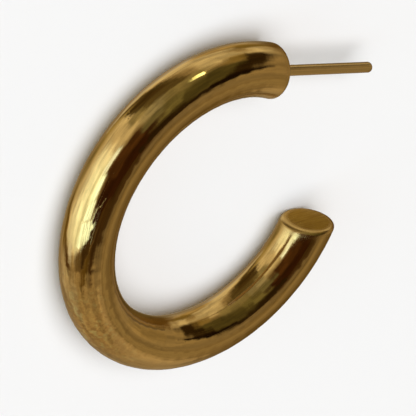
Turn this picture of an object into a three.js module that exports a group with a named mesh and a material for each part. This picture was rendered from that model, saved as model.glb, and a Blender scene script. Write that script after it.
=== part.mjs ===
// A chunky open hoop earring, lying on its side as it rests on a table.
//
// Millimetres, +Z up. The origin is the centre of the ring, on the table, and the
// ring's axis is Z. The tube starts at the front end, which sits on the front of the
// earlobe, and curves round to the free end behind the lobe. The post stands on the
// front end's flat face and points along +Y, through the lobe.
import * as THREE from "three";

// Driving dimensions.
const HOOP_OUTER_DIAMETER = 26;
const TUBE_DIAMETER = 4;
const RIM_ROUNDING = 0.35; // radius of the polished edge round each end face

// Each end of the tube is cut flat by a plane parallel to the ring's axis. facingDeg
// is the way the end's face looks, turned from +X towards +Y, and offset is how far
// along that way the plane lies from the ring's axis. The metal lies on from the front
// end as the angle round the ring grows, and back from the free end, a whole turn on.
const FRONT_END = { facingDeg: 90, offset: 2.2, metalTurn: 1 };
const FREE_END = { facingDeg: 360 + 187.5, offset: -3.05, metalTurn: -1 };

const POST_DIAMETER = 0.8;
const POST_LENGTH = 10;
const POST_TIP_ROUNDING = 0.3;
const SOLDER_FOOT_DIAMETER = 1.3; // the small flare of solder where the post meets the face
const SOLDER_FOOT_HEIGHT = 0.25;

// Fineness of the faceted surfaces.
const TUBE_SIDES = 32; // a multiple of 4, so that one flat side of the tube faces down
const TUBE_STEPS = 72;
const RIM_STEPS = 3;
const POST_SIDES = 32;
const POST_CURVE_STEPS = 4;

// Worked out from the driving dimensions.
const tubeRadius = TUBE_DIAMETER / 2;
const ringRadius = HOOP_OUTER_DIAMETER / 2 - tubeRadius; // to the centre of the tube
const postRadius = POST_DIAMETER / 2;
const footRadius = SOLDER_FOOT_DIAMETER / 2;
const capRingRadius = footRadius + 0.2; // a ring on each end face, just clear of the post's foot

// A point on the ring, from its distance to the ring's axis, its angle and its height.
function ringPoint(distance, angle, height) {
  return new THREE.Vector3(distance * Math.cos(angle), distance * Math.sin(angle), height);
}

// The angle round the ring at which a circle about its axis meets an end's plane, once
// the plane has been moved back into the metal by inset.
function meetingAngle(end, distance, inset) {
  const facing = THREE.MathUtils.degToRad(end.facingDeg);
  return facing + end.metalTurn * Math.acos((end.offset - inset) / distance);
}

// The corners of the tube's section, as distance from the ring's axis and height. The
// polygon is drawn round the circle, so its flat sides touch it at the table and on top.
function sectionCorners(sectionRadius) {
  const cornerRadius = sectionRadius / Math.cos(Math.PI / TUBE_SIDES);
  return Array.from({ length: TUBE_SIDES }, (_, side) => {
    const turn = ((side + 0.5) / TUBE_SIDES) * 2 * Math.PI;
    return {
      distance: ringRadius + cornerRadius * Math.cos(turn),
      height: tubeRadius + cornerRadius * Math.sin(turn),
    };
  });
}

// One row of points round the tube, in the plane of an end moved back by inset.
function endRow(end, sectionRadius, inset) {
  return sectionCorners(sectionRadius).map(({ distance, height }) =>
    ringPoint(distance, meetingAngle(end, distance, inset), height),
  );
}

// An end of the tube, from the middle of its flat face outwards over the rounded rim.
function endRows(end) {
  const rows = [endRow(end, capRingRadius, 0)];
  for (let step = 0; step < RIM_STEPS; step += 1) {
    const turn = (step / RIM_STEPS) * (Math.PI / 2);
    const inset = RIM_ROUNDING * (1 - Math.cos(turn));
    const sectionRadius = tubeRadius - RIM_ROUNDING * (1 - Math.sin(turn));
    rows.push(endRow(end, sectionRadius, inset));
  }
  return rows;
}

// The tube between the two rims. Each line along the tube is an arc about the ring's
// axis, and its points are spaced evenly from the one slanted end to the other.
function tubeRows() {
  const corners = sectionCorners(tubeRadius);
  return Array.from({ length: TUBE_STEPS + 1 }, (_, step) =>
    corners.map(({ distance, height }) => {
      const from = meetingAngle(FRONT_END, distance, RIM_ROUNDING);
      const to = meetingAngle(FREE_END, distance, RIM_ROUNDING);
      return ringPoint(distance, THREE.MathUtils.lerp(from, to, step / TUBE_STEPS), height);
    }),
  );
}

// The middle of an end's face.
function faceCentre(end) {
  return ringPoint(ringRadius, meetingAngle(end, ringRadius, 0), tubeRadius);
}

// A closed skin over rows of points, each row a ring with as many points as the next,
// with a fan of triangles from a centre point at each end.
function closedSkin(rows, firstCentre, lastCentre) {
  const count = rows[0].length;
  const points = [...rows.flat(), firstCentre, lastCentre];
  const first = points.length - 2;
  const last = points.length - 1;
  const lastRow = (rows.length - 1) * count;
  const faces = [];
  for (let corner = 0; corner < count; corner += 1) {
    const next = (corner + 1) % count;
    faces.push([first, corner, next]);
    for (let row = 0; row < lastRow; row += count) {
      faces.push([row + corner, row + count + next, row + next]);
      faces.push([row + corner, row + count + corner, row + count + next]);
    }
    faces.push([last, lastRow + next, lastRow + corner]);
  }
  const geometry = new THREE.BufferGeometry().setFromPoints(points);
  geometry.setIndex(faces.flat());
  geometry.computeVertexNormals();
  return geometry;
}

// The hoop: a round tube bent to an open ring, with flat ends and polished rims.
function hoopGeometry() {
  const rows = [...endRows(FRONT_END), ...tubeRows(), ...endRows(FREE_END).reverse()];
  return closedSkin(rows, faceCentre(FRONT_END), faceCentre(FREE_END));
}

// The post: a straight wire that stands on its foot of solder and has a rounded tip.
function postGeometry() {
  const profile = [new THREE.Vector2(0, 0)];
  for (let step = 0; step <= POST_CURVE_STEPS; step += 1) {
    const turn = (step / POST_CURVE_STEPS) * (Math.PI / 2);
    profile.push(
      new THREE.Vector2(
        footRadius - (footRadius - postRadius) * Math.sin(turn),
        SOLDER_FOOT_HEIGHT * (1 - Math.cos(turn)),
      ),
    );
  }
  for (let step = 0; step <= POST_CURVE_STEPS; step += 1) {
    const turn = (step / POST_CURVE_STEPS) * (Math.PI / 2);
    profile.push(
      new THREE.Vector2(
        postRadius - POST_TIP_ROUNDING * (1 - Math.cos(turn)),
        POST_LENGTH - POST_TIP_ROUNDING * (1 - Math.sin(turn)),
      ),
    );
  }
  profile.push(new THREE.Vector2(0, POST_LENGTH));
  return new THREE.LatheGeometry(profile, POST_SIDES);
}

const polishedGold = new THREE.MeshStandardMaterial({
  color: 0xdcae52,
  roughness: 0.12,
  metalness: 1,
});

const postGold = new THREE.MeshStandardMaterial({
  color: 0xdfb96c,
  roughness: 0.28,
  metalness: 1,
});

const hoop = new THREE.Mesh(hoopGeometry(), polishedGold);
hoop.name = "hoop";

const earPost = new THREE.Mesh(postGeometry(), postGold);
earPost.name = "ear_post";
earPost.position.copy(faceCentre(FRONT_END));

const earring = new THREE.Group();
earring.add(hoop, earPost);

export default earring;
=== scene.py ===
import math

import bpy
import numpy as np
from mathutils import Matrix, Vector


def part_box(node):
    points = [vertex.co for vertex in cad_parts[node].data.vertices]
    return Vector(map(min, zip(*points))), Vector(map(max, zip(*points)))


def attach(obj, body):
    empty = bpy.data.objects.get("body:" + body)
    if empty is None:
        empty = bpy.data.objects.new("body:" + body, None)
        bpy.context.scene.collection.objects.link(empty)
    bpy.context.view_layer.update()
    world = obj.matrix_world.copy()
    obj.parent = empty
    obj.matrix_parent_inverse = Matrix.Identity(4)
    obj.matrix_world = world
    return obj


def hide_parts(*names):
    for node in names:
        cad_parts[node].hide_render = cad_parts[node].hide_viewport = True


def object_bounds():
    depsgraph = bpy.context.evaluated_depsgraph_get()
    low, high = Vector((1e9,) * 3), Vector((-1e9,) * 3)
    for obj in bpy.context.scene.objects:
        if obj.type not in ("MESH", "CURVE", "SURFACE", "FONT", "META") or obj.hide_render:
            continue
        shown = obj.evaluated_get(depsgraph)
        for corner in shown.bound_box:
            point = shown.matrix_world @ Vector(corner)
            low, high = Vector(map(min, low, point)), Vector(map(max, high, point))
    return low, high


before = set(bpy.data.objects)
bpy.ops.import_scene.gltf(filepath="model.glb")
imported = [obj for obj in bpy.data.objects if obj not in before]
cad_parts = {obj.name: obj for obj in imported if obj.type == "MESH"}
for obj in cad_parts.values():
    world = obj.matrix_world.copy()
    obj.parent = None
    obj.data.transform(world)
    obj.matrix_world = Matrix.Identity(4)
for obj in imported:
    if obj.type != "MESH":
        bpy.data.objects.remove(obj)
cad_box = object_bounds()
scene = bpy.context.scene
MM = 0.001


# ---- The camera -----------------------------------------------------------------------
# A long lens, a hand's span away, looks down on the hoop across its front arm. It is
# turned on its own axis, so that the hoop stands in the picture as it hangs from an ear.
CAMERA_DISTANCE = 230.4 * MM
CAMERA_AZIMUTH = math.radians(-28.1)  # 0 looks along +Y
CAMERA_ELEVATION = math.radians(39.0)
CAMERA_ROLL = math.radians(-125.7)
CAMERA_LENS_MM = 278.0

low, high = (np.array(corner) for corner in cad_box)
aim = Vector((low + high) / 2)


def looking_from(azimuth, elevation):
    """Unit vector from the aimed-at point to the camera: (sin a cos e, -cos a cos e, sin e)."""
    flat = math.cos(elevation)
    return Vector((math.sin(azimuth) * flat, -math.cos(azimuth) * flat, math.sin(elevation)))


def camera_turn(back, roll):
    """Camera axes as a matrix: -Z looks against back, and up is level up turned by roll."""
    level_right = Vector((0, 0, 1)).cross(back).normalized()
    level_up = back.cross(level_right)
    up = math.cos(roll) * level_up + math.sin(roll) * level_right
    return Matrix((up.cross(back), up, back)).transposed()


back = looking_from(CAMERA_AZIMUTH, CAMERA_ELEVATION)
camera_data = bpy.data.cameras.new("camera")
camera_data.lens = CAMERA_LENS_MM
camera_data.clip_start = 5 * MM
camera = bpy.data.objects.new("camera", camera_data)
camera.matrix_world = (
    Matrix.Translation(aim + back * CAMERA_DISTANCE) @ camera_turn(back, CAMERA_ROLL).to_4x4()
)
scene.collection.objects.link(camera)
scene.camera = camera


# ---- The hoop -------------------------------------------------------------------------
# A hollow brass tube, bent to an open ring, capped flat at both ends and plated with
# yellow gold. Bending and hand polishing leave the round slightly uneven, so that the
# edges of what it mirrors waver.
RIM_ROUNDING = 0.35 * MM
FRONT_END_FACING = math.radians(90)
FREE_END_FACING = math.radians(360 + 187.5)
FREE_END_OFFSET = -3.05 * MM
TUBE_ROWS = 640
TUBE_SIDES = 120
RIM_ROWS = 8
CAP_ROWS = 16
CAP_DOMING = 0.05 * MM  # polishing rounds each end's face over by this much
SATIN_ROWS = 4  # how soon the rims' softer finish gives way to the polish
SATIN_RIM_ROWS = 3  # how many rows of the face have it as well
# Depth of each kind of unevenness, with its wavelengths along the tube and across it.
BENDING_RIPPLES = (0.012 * MM, [(a * MM, b * MM) for a in (1.1, 1.7, 2.9) for b in (3, 5, 9)])
WHEEL_FACETS = (0.015 * MM, [(a * MM, b * MM) for a in (4, 7, 11) for b in (0.9, 1.4, 2.4)])
EVEN_FROM_END = 2 * MM  # the unevenness grows from nothing at each end over this length
# The hoop hangs lowest at this angle round the ring, and is knocked there.
LOWEST_BEND = math.radians(313)
KNOCKED_LENGTH = 4.0 * MM
KNOCKED_FROM = -0.3  # inner side, where the marks begin, as a share of the tube's radius outwards
KNOCKED_OVER = 0.9  # how much further out they are at their strongest
KNOCKS = 150
KNOCK_DEPTHS = (0.003 * MM, 0.016 * MM)
KNOCK_RADII = (0.14 * MM, 0.32 * MM)
KNOCK_SCATTER = 0.62  # along the tube, as a share of the knocked length
KNOCK_SIDE = (math.radians(24), math.radians(36))  # mean and scatter round the tube
KNOCKS_SEED = 11

hoop_low, hoop_high = (np.array(corner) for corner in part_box("hoop"))
tube_radius = (hoop_high[2] - hoop_low[2]) / 2
ring_radius = (hoop_high[0] - hoop_low[0]) / 2 - tube_radius
front_end_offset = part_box("ear_post")[0][1]


def meeting_angle(facing, offset, metal_turn, distance):
    """Angle round the ring where a circle of this distance from the axis meets an end's
    plane: facing plus or minus the arc cosine of offset over distance."""
    return facing + metal_turn * np.arccos(offset / distance)


def end_profile():
    """Rows of an end from its middle to the full tube, as (section radius, inset): a face
    that falls away with the square of its radius, then a quarter ellipse over the rim."""
    face = tube_radius - RIM_ROUNDING
    share = np.linspace(0, 1, CAP_ROWS + 1)[1:-1]
    turn = np.linspace(0, np.pi / 2, RIM_ROWS)
    rim = CAP_DOMING + (RIM_ROUNDING - CAP_DOMING) * (1 - np.cos(turn))
    radius = np.concatenate([share * face, face + RIM_ROUNDING * np.sin(turn)])
    inset = np.concatenate([share**2 * CAP_DOMING, rim])
    return radius, inset


def even_waves(straight, lengths, seed):
    """Smooth unevenness between -1 and 1 over the straightened tube: a sum of plane waves,
    each (wavelength along, wavelength across), with random slants and phases."""
    random = np.random.default_rng(seed)
    total = np.zeros(straight.shape[:-1])
    for along, across in lengths:
        slant = random.normal(0, 1, 2)
        slant /= np.linalg.norm(slant)
        total += np.sin(
            2 * np.pi * straight[..., 0] / along
            + 2 * np.pi * (straight[..., 1:] @ slant) / across
            + random.uniform(0, 2 * np.pi)
        )
    return total / np.abs(total).max()


def knock_dents(straight):
    """Depth of the knocks over the straightened tube: bell-shaped dents, each its depth
    times exp(-(distance / radius)^2), strewn at random over the outside of the lowest bend."""
    random = np.random.default_rng(KNOCKS_SEED)
    scatter = random.normal(0, KNOCK_SCATTER, KNOCKS)
    along = ring_radius * LOWEST_BEND + scatter * KNOCKED_LENGTH
    side = random.normal(*KNOCK_SIDE, KNOCKS)
    centres = np.stack([along, tube_radius * np.cos(side), tube_radius * np.sin(side)], axis=-1)
    depths = random.uniform(*KNOCK_DEPTHS, KNOCKS)
    radii = random.uniform(*KNOCK_RADII, KNOCKS)
    dent = np.zeros(straight.shape[:-1])
    for centre, depth, radius in zip(centres, depths, radii):
        apart = ((straight - centre) ** 2).sum(-1)
        dent += depth * np.exp(-apart / radius**2)
    return dent


def hoop_surface():
    """Grid of points (row, side) and the same grid on the straightened tube. A row is a
    circle of section radius r about the tube's centre line, R from the ring's axis and T
    above the table: distance = R + r cos(side), height = T + r sin(side), at an angle
    spaced evenly between the two slanted ends. The dents then draw r in."""
    side = np.linspace(0, 2 * np.pi, TUBE_SIDES, endpoint=False)
    end_radius, end_inset = end_profile()
    rows = len(end_radius)
    between = np.linspace(0, 1, TUBE_ROWS + 2)[1:-1]
    share = np.concatenate([np.zeros(rows), between, np.ones(rows)])
    radius = np.concatenate([end_radius, np.full(TUBE_ROWS, tube_radius), end_radius[::-1]])
    front_inset = np.concatenate([end_inset, np.full(TUBE_ROWS + rows, RIM_ROUNDING)])
    free_inset = front_inset[::-1]

    distance = ring_radius + radius[:, None] * np.cos(side)
    front_offset = front_end_offset - front_inset[:, None]
    free_offset = FREE_END_OFFSET - free_inset[:, None]
    start = meeting_angle(FRONT_END_FACING, front_offset, 1, distance)
    stop = meeting_angle(FREE_END_FACING, free_offset, -1, distance)
    angle = start + (stop - start) * share[:, None]

    along = ring_radius * angle
    across = radius[:, None] * np.cos(side)
    upward = radius[:, None] * np.sin(side)
    straight = np.stack([along, across, upward], axis=-1)

    dent = sum(
        depth * (1 + even_waves(straight, lengths, seed)) / 2
        for seed, (depth, lengths) in enumerate((BENDING_RIPPLES, WHEEL_FACETS))
    )
    from_end = np.minimum(angle - angle[0], angle[-1] - angle) * ring_radius
    dent = dent * np.clip(from_end / EVEN_FROM_END, 0, 1) ** 2 + knock_dents(straight)
    shrink = 1 - dent / radius[:, None]
    distance = ring_radius + across * shrink
    points = np.stack(
        [
            distance * np.cos(angle),
            distance * np.sin(angle),
            tube_radius + upward * shrink,
        ],
        axis=-1,
    )
    return points, straight


def closed_mesh(name, points, first_pole, last_pole):
    """Mesh of a grid whose columns wrap round, closed by a fan to a pole at each end."""
    rows, sides = points.shape[:2]
    index = np.arange(rows * sides).reshape(rows, sides)
    a, b = index[:-1], index[1:]
    quads = np.stack([a, b, np.roll(b, -1, 1), np.roll(a, -1, 1)], axis=-1).reshape(-1, 4)
    first, last = rows * sides, rows * sides + 1
    front = np.stack([np.full(sides, first), index[0], np.roll(index[0], -1)], axis=-1)
    end = np.stack([np.full(sides, last), np.roll(index[-1], -1), index[-1]], axis=-1)
    vertices = np.vstack([points.reshape(-1, 3), first_pole, last_pole])
    mesh = bpy.data.meshes.new(name)
    mesh.from_pydata(vertices.tolist(), [], quads.tolist() + front.tolist() + end.tolist())
    mesh.shade_smooth()
    return mesh


def face_centre(facing, offset, metal_turn):
    """Middle of an end's face, on the tube's centre line."""
    angle = meeting_angle(facing, offset, metal_turn, ring_radius)
    return np.array([ring_radius * np.cos(angle), ring_radius * np.sin(angle), tube_radius])


def worn_places(straight):
    """(filed, knocked, satin) for each point of the grid. Filed is 1 on the flat faces.
    Knocked is 1 on the outside of the bend that hangs lowest, and dies away as a bell curve
    along the tube and as a smooth step from its inner side. Satin is 1 on the rims, and
    dies away along the tube."""
    worn = np.zeros_like(straight)
    worn[:CAP_ROWS, :, 0] = 1
    worn[-CAP_ROWS:, :, 0] = 1
    row = np.arange(len(straight))
    past_rim = np.minimum(row, row[::-1]) - (CAP_ROWS + RIM_ROWS)
    satin = np.exp(-np.clip(past_rim, 0, None) / SATIN_ROWS)
    satin *= past_rim > -RIM_ROWS - SATIN_RIM_ROWS
    worn[..., 2] = satin[:, None]
    along = (straight[..., 0] - ring_radius * LOWEST_BEND) / KNOCKED_LENGTH
    outward = np.clip((straight[..., 1] / tube_radius - KNOCKED_FROM) / KNOCKED_OVER, 0, 1)
    worn[..., 1] = np.exp(-(along**2)) * outward**2 * (3 - 2 * outward)
    return worn


def add_attribute(mesh, name, values):
    """Stores a vector for each point of a closed mesh, with the mean of its row at a pole."""
    values = np.vstack([values.reshape(-1, 3), values[0].mean(0), values[-1].mean(0)])
    attribute = mesh.attributes.new(name, "FLOAT_VECTOR", "POINT")
    attribute.data.foreach_set("vector", values.astype(np.float32).ravel())


points, straight = hoop_surface()
front_centre = face_centre(FRONT_END_FACING, front_end_offset, 1)
free_centre = face_centre(FREE_END_FACING, FREE_END_OFFSET, -1)
hoop_mesh = closed_mesh("gold_hoop", points, front_centre, free_centre)
add_attribute(hoop_mesh, "straight", straight)
add_attribute(hoop_mesh, "worn", worn_places(straight))
hoop = bpy.data.objects.new("gold_hoop", hoop_mesh)
scene.collection.objects.link(hoop)


def node(tree, kind, inputs=None, **settings):
    """Adds a shader node, sets its properties, and fills or links its inputs by name."""
    made = tree.nodes.new(kind)
    for key, value in settings.items():
        setattr(made, key, value)
    for key, value in (inputs or {}).items():
        if isinstance(value, bpy.types.NodeSocket):
            tree.links.new(value, made.inputs[key])
        else:
            made.inputs[key].default_value = value
    return made


MICRON = 0.001 * MM
GOLD = (0.88, 0.605, 0.23)
WARM_GOLD = (0.86, 0.56, 0.195)
# The next two colours are painted onto the knocks: a darker one as painted shade, which also
# tints the file lines, and a paler one as painted highlights.
SHADE_AND_FILE_LINE_GOLD = (0.7, 0.425, 0.15)
KNOCK_GLINT_GOLD = (0.9, 0.71, 0.295)


def calculate(tree, operation, *values):
    """Output of a Math node."""
    return node(tree, "ShaderNodeMath", dict(enumerate(values)), operation=operation).outputs[0]


def product(tree, first, second):
    """Output of a Math node that multiplies."""
    return calculate(tree, "MULTIPLY", first, second)


def blended(tree, share, first, second):
    """The first colour where share is 0, the second where it is 1."""
    mix = node(tree, "ShaderNodeMix", {"Factor": share}, data_type="RGBA")
    # Of a Mix node's sockets, inputs 6 and 7 and output 2 are the ones for colours.
    for socket, colour in zip(mix.inputs[6:8], (first, second)):
        if isinstance(colour, bpy.types.NodeSocket):
            tree.links.new(colour, socket)
        else:
            socket.default_value = (*colour, 1)
    return mix.outputs[2]


def spread(tree, value, low, high, new_low=0.0, new_high=1.0):
    """The value carried from the range low to high to a new range, and held at its ends."""
    inputs = {"Value": value, "From Min": low, "From Max": high}
    inputs.update({"To Min": new_low, "To Max": new_high})
    return node(tree, "ShaderNodeMapRange", inputs).outputs["Result"]


def stretched_noise(tree, place, scale, detail=2.0, turn=(0.0, 0.0, 0.0)):
    """Noise on place turned by turn, with features 1 / scale long each way."""
    inputs = {"Vector": place, "Rotation": turn, "Scale": scale}
    stretched = node(tree, "ShaderNodeMapping", inputs).outputs[0]
    inputs = {"Vector": stretched, "Scale": 1.0, "Detail": detail, "Roughness": 0.6}
    return node(tree, "ShaderNodeTexNoise", inputs).outputs["Fac"]


def bumpy(tree, layers):
    """A chain of Bump nodes over layers of (height, depth in metres)."""
    normal = None
    for height, depth in layers:
        bump = node(tree, "ShaderNodeBump", {"Height": height, "Distance": depth})
        if normal is not None:
            tree.links.new(normal, bump.inputs["Normal"])
        normal = bump.outputs["Normal"]
    return normal


def polished_gold_material():
    """Polished plate: soft orange peel, lines of the polishing wheel along the tube, strokes
    of the cloth across it, hairline scratches, rare pits, and patches dulled by handling.
    The end faces keep the lines of the file. The lowest bend is dented by knocks, and over
    them darker spots of painted shade and paler spots of painted highlight lie in the colour."""
    material = bpy.data.materials.new("polished_gold_plate")
    material.use_nodes = True
    tree = material.node_tree
    shader = tree.nodes["Principled BSDF"]
    shader.inputs["Metallic"].default_value = 1
    place = node(tree, "ShaderNodeAttribute", attribute_name="straight").outputs["Vector"]
    worn = node(tree, "ShaderNodeAttribute", attribute_name="worn").outputs["Vector"]
    worn = node(tree, "ShaderNodeSeparateXYZ", {"Vector": worn})
    filed, knocked, satin = worn.outputs["X"], worn.outputs["Y"], worn.outputs["Z"]

    peel = stretched_noise(tree, place, (2200, 2200, 2200), 1.5)
    wheel = stretched_noise(tree, place, (220, 4200, 4200), 3)
    strokes = stretched_noise(tree, place, (4800, 700, 700), 2)
    handling = stretched_noise(tree, place, (260, 420, 420), 3)
    pits = node(tree, "ShaderNodeTexVoronoi", {"Vector": place, "Scale": 1300.0})
    pits = spread(tree, pits.outputs["Distance"], 0.03, 0.09)
    hairlines = stretched_noise(tree, place, (160, 12000, 12000), 0.0, (0.0, 0.3, 0.5))
    for turn in ((0.0, -0.4, -0.2), (0.3, 0.2, 1.4), (0.9, 0.1, 1.8)):
        others = stretched_noise(tree, place, (190, 14000, 14000), 0.0, turn)
        hairlines = calculate(tree, "MAXIMUM", hairlines, others)
    hairlines = spread(tree, hairlines, 0.76, 0.86)
    file_lines = product(tree, filed, stretched_noise(tree, place, (1, 500, 5200), 2))
    knocks = product(tree, knocked, stretched_noise(tree, place, (2500, 2500, 2500), 1))
    layers = [
        (peel, 4.5 * MICRON),
        (wheel, 1.8 * MICRON),
        (strokes, 0.7 * MICRON),
        (pits, 3 * MICRON),
        (hairlines, -1.5 * MICRON),
        (file_lines, 9 * MICRON),
        (knocks, 22 * MICRON),
    ]
    tree.links.new(bumpy(tree, layers), shader.inputs["Normal"])

    colour = blended(tree, handling, GOLD, WARM_GOLD)
    # Painted shade: darker spots over the knocks, where the dents would mirror dark, plus the
    # darker file lines of the end faces.
    knock_shade_and_file_lines = spread(tree, stretched_noise(tree, place, (2600, 2600, 2600), 2), 0.42, 0.6)
    knock_shade_and_file_lines = product(tree, knock_shade_and_file_lines, knocked)
    knock_shade_and_file_lines = calculate(tree, "ADD", knock_shade_and_file_lines, spread(tree, file_lines, 0.42, 0.66, 0.0, 0.7))
    colour = blended(tree, knock_shade_and_file_lines, colour, SHADE_AND_FILE_LINE_GOLD)
    # Painted highlight: paler spots over the knocks, where the dents would catch glints.
    knock_glints = spread(tree, stretched_noise(tree, place, (1900, 1900, 1900), 1), 0.54, 0.66)
    knock_glints = product(tree, knock_glints, knocked)
    colour = blended(tree, knock_glints, colour, KNOCK_GLINT_GOLD)
    tree.links.new(colour, shader.inputs["Base Color"])

    handled = spread(tree, handling, 0.35, 0.7, 0.045, 0.11)
    scratched = spread(tree, hairlines, 0.0, 1.0, 0.0, 0.12)
    dullness = calculate(tree, "ADD", handled, scratched)
    dullness = calculate(tree, "ADD", dullness, product(tree, satin, 0.2))
    tree.links.new(dullness, shader.inputs["Roughness"])
    return material


hoop_mesh.materials.append(polished_gold_material())
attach(hoop, "root")
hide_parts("hoop")


# ---- The ear post ---------------------------------------------------------------------
# A straight gold-plated wire, soldered to the middle of the front end's face. The solder
# has drawn up round its foot, and its tip is rounded so that it slips through the lobe.
POST_SIDES = 64
POST_DIAMETER = 0.8 * MM
FOOT_HEIGHT = 0.25 * MM
TIP_ROUNDING = 0.3 * MM
CURVE_ROWS = 12  # over the foot, and over the tip
WIRE_ROWS = 38
FLAT_TIP_SHARE = 0.6  # where the one row on the tip's flat end lies
post_low, post_high = (np.array(corner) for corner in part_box("ear_post"))
foot_radius = (post_high[0] - post_low[0]) / 2
post_length = post_high[1] - post_low[1]


def post_profile():
    """(radius, height) from the foot to the tip: a hollow quarter curve of solder, the
    straight wire, and a quarter circle over the tip."""
    wire = POST_DIAMETER / 2
    turn = np.linspace(0, np.pi / 2, CURVE_ROWS)
    foot_reach = foot_radius - (foot_radius - wire) * np.sin(turn)
    foot = np.stack([foot_reach, FOOT_HEIGHT * (1 - np.cos(turn))], axis=-1)
    heights = np.linspace(FOOT_HEIGHT, post_length - TIP_ROUNDING, WIRE_ROWS + 2)[1:-1]
    shaft = np.stack([np.full(WIRE_ROWS, wire), heights], axis=-1)
    tip_reach = wire - TIP_ROUNDING * (1 - np.cos(turn))
    tip = np.stack([tip_reach, post_length - TIP_ROUNDING * (1 - np.sin(turn))], axis=-1)
    flat_tip = [((wire - TIP_ROUNDING) * FLAT_TIP_SHARE, post_length)]
    return np.vstack([foot, shaft, tip, flat_tip])


profile = post_profile()
turn = np.linspace(0, 2 * np.pi, POST_SIDES, endpoint=False)
post_points = np.stack(
    [
        front_centre[0] + profile[:, :1] * np.cos(turn),
        np.repeat(front_centre[1] + profile[:, 1:], POST_SIDES, axis=1),
        front_centre[2] - profile[:, :1] * np.sin(turn),
    ],
    axis=-1,
)
tip_centre = front_centre + [0, post_length, 0]
post_mesh = closed_mesh("gold_ear_post", post_points, front_centre, tip_centre)
post = bpy.data.objects.new("gold_ear_post", post_mesh)
scene.collection.objects.link(post)


WIRE_GOLD = (0.88, 0.62, 0.27)
SOLDER_GOLD = (0.8, 0.61, 0.34)
SOLDER_TOP = (0.15 * MM, 0.35 * MM)  # heights above the face between which the solder ends
SOLDER_FLOW = 0.3 * MM  # how unevenly its edge has drawn up the wire


def post_gold_material():
    """Drawn wire: fine lines along it and a few cross nicks. The solder round its foot is
    paler, a little grainy and less bright."""
    material = bpy.data.materials.new("drawn_gold_wire")
    material.use_nodes = True
    tree = material.node_tree
    shader = tree.nodes["Principled BSDF"]
    shader.inputs["Metallic"].default_value = 1
    place = node(tree, "ShaderNodeTexCoord").outputs["Object"]

    drawn = stretched_noise(tree, place, (16000, 260, 16000), 3)
    nicks = spread(tree, stretched_noise(tree, place, (1500, 9000, 1500), 1), 0.66, 0.8)
    grain = stretched_noise(tree, place, (9000, 9000, 9000), 3)
    out_of_face = node(tree, "ShaderNodeSeparateXYZ", {"Vector": place}).outputs["Y"]
    flow = product(tree, stretched_noise(tree, place, (3500, 3500, 3500)), SOLDER_FLOW)
    out_of_face = calculate(tree, "SUBTRACT", out_of_face, flow)
    solder_below, wire_above = (front_centre[1] + height for height in SOLDER_TOP)
    solder = spread(tree, out_of_face, wire_above, solder_below)
    solder_grain = product(tree, solder, grain)
    layers = [(drawn, 1.4 * MICRON), (nicks, -2 * MICRON), (solder_grain, 7 * MICRON)]
    tree.links.new(bumpy(tree, layers), shader.inputs["Normal"])

    colour = blended(tree, solder, WIRE_GOLD, SOLDER_GOLD)
    tree.links.new(colour, shader.inputs["Base Color"])
    drawn_dullness = spread(tree, drawn, 0.3, 0.7, 0.12, 0.24)
    dullness = calculate(tree, "ADD", drawn_dullness, product(tree, solder, 0.16))
    tree.links.new(dullness, shader.inputs["Roughness"])
    return material


post_mesh.materials.append(post_gold_material())
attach(post, "root")
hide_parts("ear_post")


# ---- The studio -----------------------------------------------------------------------
# A pale matt table under a wide soft light from above. Round it stands a dim brown room
# with one tall window of several panes. Only the gold mirrors the room, and it mirrors
# neither the table nor the light above, so that the polish keeps its dark reflections.
FLOOR_SIZE = 6.0
FLOOR_COLOUR = (0.82, 0.825, 0.84, 1)
FLOOR_ROUGHNESS = 0.9
FLOOR_SHINE = 0.1
floor_mesh = bpy.data.meshes.new("floor")
half = FLOOR_SIZE / 2
corners = [(-half, -half, 0), (half, -half, 0), (half, half, 0), (-half, half, 0)]
floor_mesh.from_pydata(corners, [], [(0, 1, 2, 3)])
floor = bpy.data.objects.new("floor", floor_mesh)
scene.collection.objects.link(floor)
floor_material = bpy.data.materials.new("pale_table")
floor_material.use_nodes = True
floor_shader = floor_material.node_tree.nodes["Principled BSDF"]
floor_shader.inputs["Base Color"].default_value = FLOOR_COLOUR
floor_shader.inputs["Roughness"].default_value = FLOOR_ROUGHNESS
floor_shader.inputs["Specular IOR Level"].default_value = FLOOR_SHINE
floor_mesh.materials.append(floor_material)
floor.visible_glossy = False

scene.view_settings.view_transform = "Standard"

OVERHEAD_WIDTH = math.radians(75)
OVERHEAD_STRENGTH = 3.12
OVERHEAD_FALL = Vector((0.1, 0.25, -1))
overhead_data = bpy.data.lights.new("overhead_light", "SUN")
overhead_data.angle = OVERHEAD_WIDTH
overhead_data.energy = OVERHEAD_STRENGTH
overhead = bpy.data.objects.new("overhead_light", overhead_data)
overhead.rotation_euler = OVERHEAD_FALL.to_track_quat("-Z", "Y").to_euler()
overhead.visible_glossy = False
scene.collection.objects.link(overhead)

# A small lamp close by, with a grid that keeps its narrow beam on the front of the hoop.
LAMP_AT = Vector((-49.5, -7.8, 12.7)) * MM
LAMP_AIM = Vector((-11.1, -12.0, 3.0)) * MM
LAMP_WIDTH = 9.5 * MM
LAMP_HEIGHT = 7 * MM
LAMP_BEAM = math.radians(28)
LAMP_WATTS = 0.000022
LAMP_COLOUR = (0.82, 0.95, 0.64)
lamp_data = bpy.data.lights.new("small_lamp", "AREA")
lamp_data.shape = "RECTANGLE"
lamp_data.size = LAMP_WIDTH
lamp_data.size_y = LAMP_HEIGHT
lamp_data.spread = LAMP_BEAM
lamp_data.energy = LAMP_WATTS
lamp_data.color = LAMP_COLOUR
lamp = bpy.data.objects.new("small_lamp", lamp_data)
lamp.location = LAMP_AT
lamp.rotation_euler = (LAMP_AIM - LAMP_AT).to_track_quat("-Z", "Y").to_euler()
lamp.visible_camera = False
lamp.visible_diffuse = False
scene.collection.objects.link(lamp)

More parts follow.
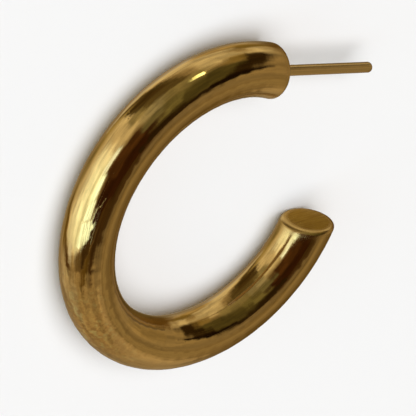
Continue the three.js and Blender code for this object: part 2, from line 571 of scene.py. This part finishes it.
world = bpy.data.worlds.new("room")
world.use_nodes = True
scene.world = world
room = world.node_tree
room.nodes.clear()


def vector_step(operation, inputs):
    """Output of a Vector Math node of the room."""
    return node(room, "ShaderNodeVectorMath", inputs, operation=operation).outputs[0]


# The room is laid out by direction, and the edges of all that stands in it waver a little.
WAVER = 0.16
direction = node(room, "ShaderNodeTexCoord").outputs["Generated"]
waver = node(room, "ShaderNodeTexNoise", {"Vector": direction, "Scale": 7.0, "Detail": 3.0})
waver = vector_step("SUBTRACT", {0: waver.outputs["Color"], 1: (0.5, 0.5, 0.5)})
waver = vector_step("SCALE", {0: waver, "Scale": WAVER})
wavering = vector_step("ADD", {0: direction, 1: waver})
wavering = vector_step("NORMALIZE", {0: wavering})
parts = node(room, "ShaderNodeSeparateXYZ", {"Vector": wavering})
bearing = calculate(room, "ARCTAN2", parts.outputs["Y"], parts.outputs["X"])
height = calculate(room, "ARCSINE", parts.outputs["Z"])


def fade(value, edge, soft):
    """Rises smoothly from 0 to 1 as the value passes an edge that is soft degrees wide, or
    falls where soft is negative."""
    inputs = {"Value": value}
    inputs["From Min"] = math.radians(edge - soft / 2)
    inputs["From Max"] = math.radians(edge + soft / 2)
    return node(room, "ShaderNodeMapRange", inputs, interpolation_type="SMOOTHSTEP").outputs[0]


def patch(centre, half_width, side_soft, bottom, top, end_soft):
    """1 inside a soft-edged patch of the room, 0 outside it, all in degrees. Bearings turn
    from +X towards +Y, and bottom and top are angles above the table."""
    aside = calculate(room, "SUBTRACT", bearing, math.radians(centre))
    aside = calculate(room, "ABSOLUTE", calculate(room, "WRAP", aside, math.pi, -math.pi))
    result = fade(aside, half_width, -side_soft)
    result = product(room, result, fade(height, bottom, end_soft))
    return product(room, result, fade(height, top, -end_soft))


BROWN = (0.29, 0.235, 0.15)
TAN = (0.58, 0.54, 0.44)
OLIVE = (0.078, 0.07, 0.028)
UMBER = (0.03, 0.011, 0.004)
BLACK = (0.01, 0.005, 0.002)
# Each is laid over those before it: bearing, half width, side soft, bottom, top, end soft,
# and colour.
SURROUNDINGS = (
    # The ceiling.
    (52, 52, 20, 54, 100, 30, (0.19, 0.155, 0.105)),
    (0, 200, 1, 77, 100, 14, (0.05, 0.027, 0.012)),
    (10, 44, 14, 62, 100, 6, (0.05, 0.03, 0.012)),
    (265, 80, 20, 62, 100, 20, UMBER),
    # The wall across from the window, and the floor before it.
    (60, 18, 14, 16, 60, 12, (0.195, 0.152, 0.088)),
    (58, 16, 12, 33, 45, 6, (0.265, 0.215, 0.132)),
    (36, 12, 12, 4, 49, 14, (0.42, 0.35, 0.25)),
    (62, 14, 14, -26, 17, 14, (0.12, 0.083, 0.03)),
    (103, 14, 12, 2, 30, 12, (0.26, 0.205, 0.115)),
    (128, 30, 16, -120, -2, 14, (0.36, 0.31, 0.22)),
    (92, 21, 14, -44, 0, 12, (0.115, 0.075, 0.022)),
    (111, 14, 12, -38, -2, 14, (0.12, 0.07, 0.018)),
    (130, 24, 14, -120, -58, 10, (0.48, 0.47, 0.47)),
    (156, 23, 14, -120, 3, 22, TAN),
    # An olive wall with a dark doorway, and a dark chest.
    (165, 62, 20, 60, 100, 14, (0.022, 0.013, 0.005)),
    (181, 43, 12, 14, 66, 18, OLIVE),
    (205, 18, 14, 30, 66, 16, (0.155, 0.148, 0.072)),
    (131, 13, 10, 34, 66, 14, BLACK),
    (154, 10, 14, -8, 16, 16, (0.19, 0.145, 0.055)),
    (141, 9, 10, -5, 42, 12, (0.03, 0.018, 0.006)),
    (200, 26, 14, -6, 26, 18, (0.235, 0.215, 0.125)),
    (205.5, 18.5, 7, -80, 0, 8, (0.088, 0.069, 0.031)),
    (206, 11, 8, -68, -28, 18, (0.052, 0.034, 0.012)),
    (215, 9, 10, -4, 30, 14, (0.33, 0.32, 0.25)),
    # The floor under the window, the lit wall, and the sill.
    (285, 80, 20, -120, -62, 14, (0.25, 0.21, 0.11)),
    (236, 22, 18, -120, -68, 12, (0.34, 0.285, 0.14)),
    (268, 45, 6, -64, 16, 18, TAN),
    (328, 14, 10, -74, -42, 8, (0.145, 0.098, 0.024)),
    (279, 32, 14, -46, 18, 20, (0.86, 0.94, 0.98)),
    (278, 22, 16, -27, 12, 14, (1.12, 1.32, 1.44)),
    (312, 5, 8, -28, -12, 8, (0.75, 0.8, 0.92)),
    (225, 6, 8, -28, 2, 14, (0.26, 0.24, 0.155)),
    (282, 27, 10, -5, 6, 6, (0.82, 0.95, 0.97)),
    # The dark wall over the window, its curtain, and the wall and the floor beside it.
    (262, 56, 24, 36, 100, 12, UMBER),
    (246, 22, 16, 24, 62, 12, (0.068, 0.031, 0.011)),
    (216, 10, 10, 30, 50, 10, (0.16, 0.155, 0.095)),
    (315.5, 8.5, 5, 16, 72, 14, (0.055, 0.033, 0.012)),
    (341, 16, 14, 45, 78, 12, (0.05, 0.028, 0.01)),
    (331, 8, 8, 18, 50, 12, (0.115, 0.075, 0.02)),
    (317, 7, 6, 2, 24, 12, (0.13, 0.095, 0.05)),
    (323, 5, 5, -44, -16, 12, (0.1, 0.06, 0.025)),
    (341, 14, 8, -50, 4, 12, (0.4, 0.36, 0.29)),
    (350, 12, 8, -2, 36, 12, (0.35, 0.29, 0.19)),
    # What the free end's face looks at, on the floor.
    (146, 6, 8, -34, -16, 10, (0.32, 0.26, 0.16)),
    (130, 16, 10, -60, -44, 8, (0.36, 0.285, 0.155)),
    (132, 10, 10, -46, -27, 8, (0.188, 0.139, 0.044)),
)
DAYLIGHT = (1.45, 2.05, 2.6)
LIGHTS = (
    # Panes of the window, each taller than the last, and a bright glazing bar.
    (252, 9, 6, 8, 19.5, 5, (1.2, 1.6, 2.2)),
    (271, 8, 8, 8, 28, 6, DAYLIGHT),
    (284.5, 5.5, 3, 8, 34, 5, DAYLIGHT),
    (296, 5.5, 3, 6, 43, 5, DAYLIGHT),
    (303, 3.2, 3, 3, 52, 6, (1.25, 1.75, 2.2)),
    (290.5, 0.6, 1.2, 4, 60, 4, (0.8, 0.85, 0.8)),
)
look = BROWN
for *place, colour in SURROUNDINGS:
    look = blended(room, patch(*place), look, colour)

# Clutter makes the surroundings lighter and darker, and slats lie across the window.
inputs = {"Vector": direction, "Scale": 3.6, "Detail": 5.0, "Roughness": 0.62}
clutter = node(room, "ShaderNodeTexNoise", inputs).outputs["Fac"]
clutter = spread(room, clutter, 0.3, 0.7, 0.6, 1.35)
look = vector_step("SCALE", {0: look, "Scale": clutter})
inputs = {"X": bearing, "Y": height}
across_window = node(room, "ShaderNodeCombineXYZ", inputs).outputs["Vector"]
slats = stretched_noise(room, across_window, (1.6, 17, 1), 1)
slats = spread(room, slats, 0.42, 0.56, 0.42, 1.0)
for *place, colour in LIGHTS:
    look = blended(room, product(room, patch(*place), slats), look, colour)

# Where the gold mirrors itself, most of the room turns to one cool tone. Behind the table,
# the camera sees a plain pale ground.
MIRRORED_TWICE = (0.2, 0.24, 0.4)
MIRRORED_TWICE_SHARE = 0.7
PALE_GROUND = (0.912, 0.911, 0.904)
light_path = node(room, "ShaderNodeLightPath")
twice = calculate(room, "GREATER_THAN", light_path.outputs["Glossy Depth"], 1.5)
look = blended(room, product(room, twice, MIRRORED_TWICE_SHARE), look, MIRRORED_TWICE)
look = blended(room, light_path.outputs["Is Camera Ray"], look, PALE_GROUND)
background = node(room, "ShaderNodeBackground", {"Color": look})
node(room, "ShaderNodeOutputWorld", {"Surface": background.outputs[0]})


# ---- Updating the scene ---------------------------------------------------------------
bpy.context.view_layer.update()
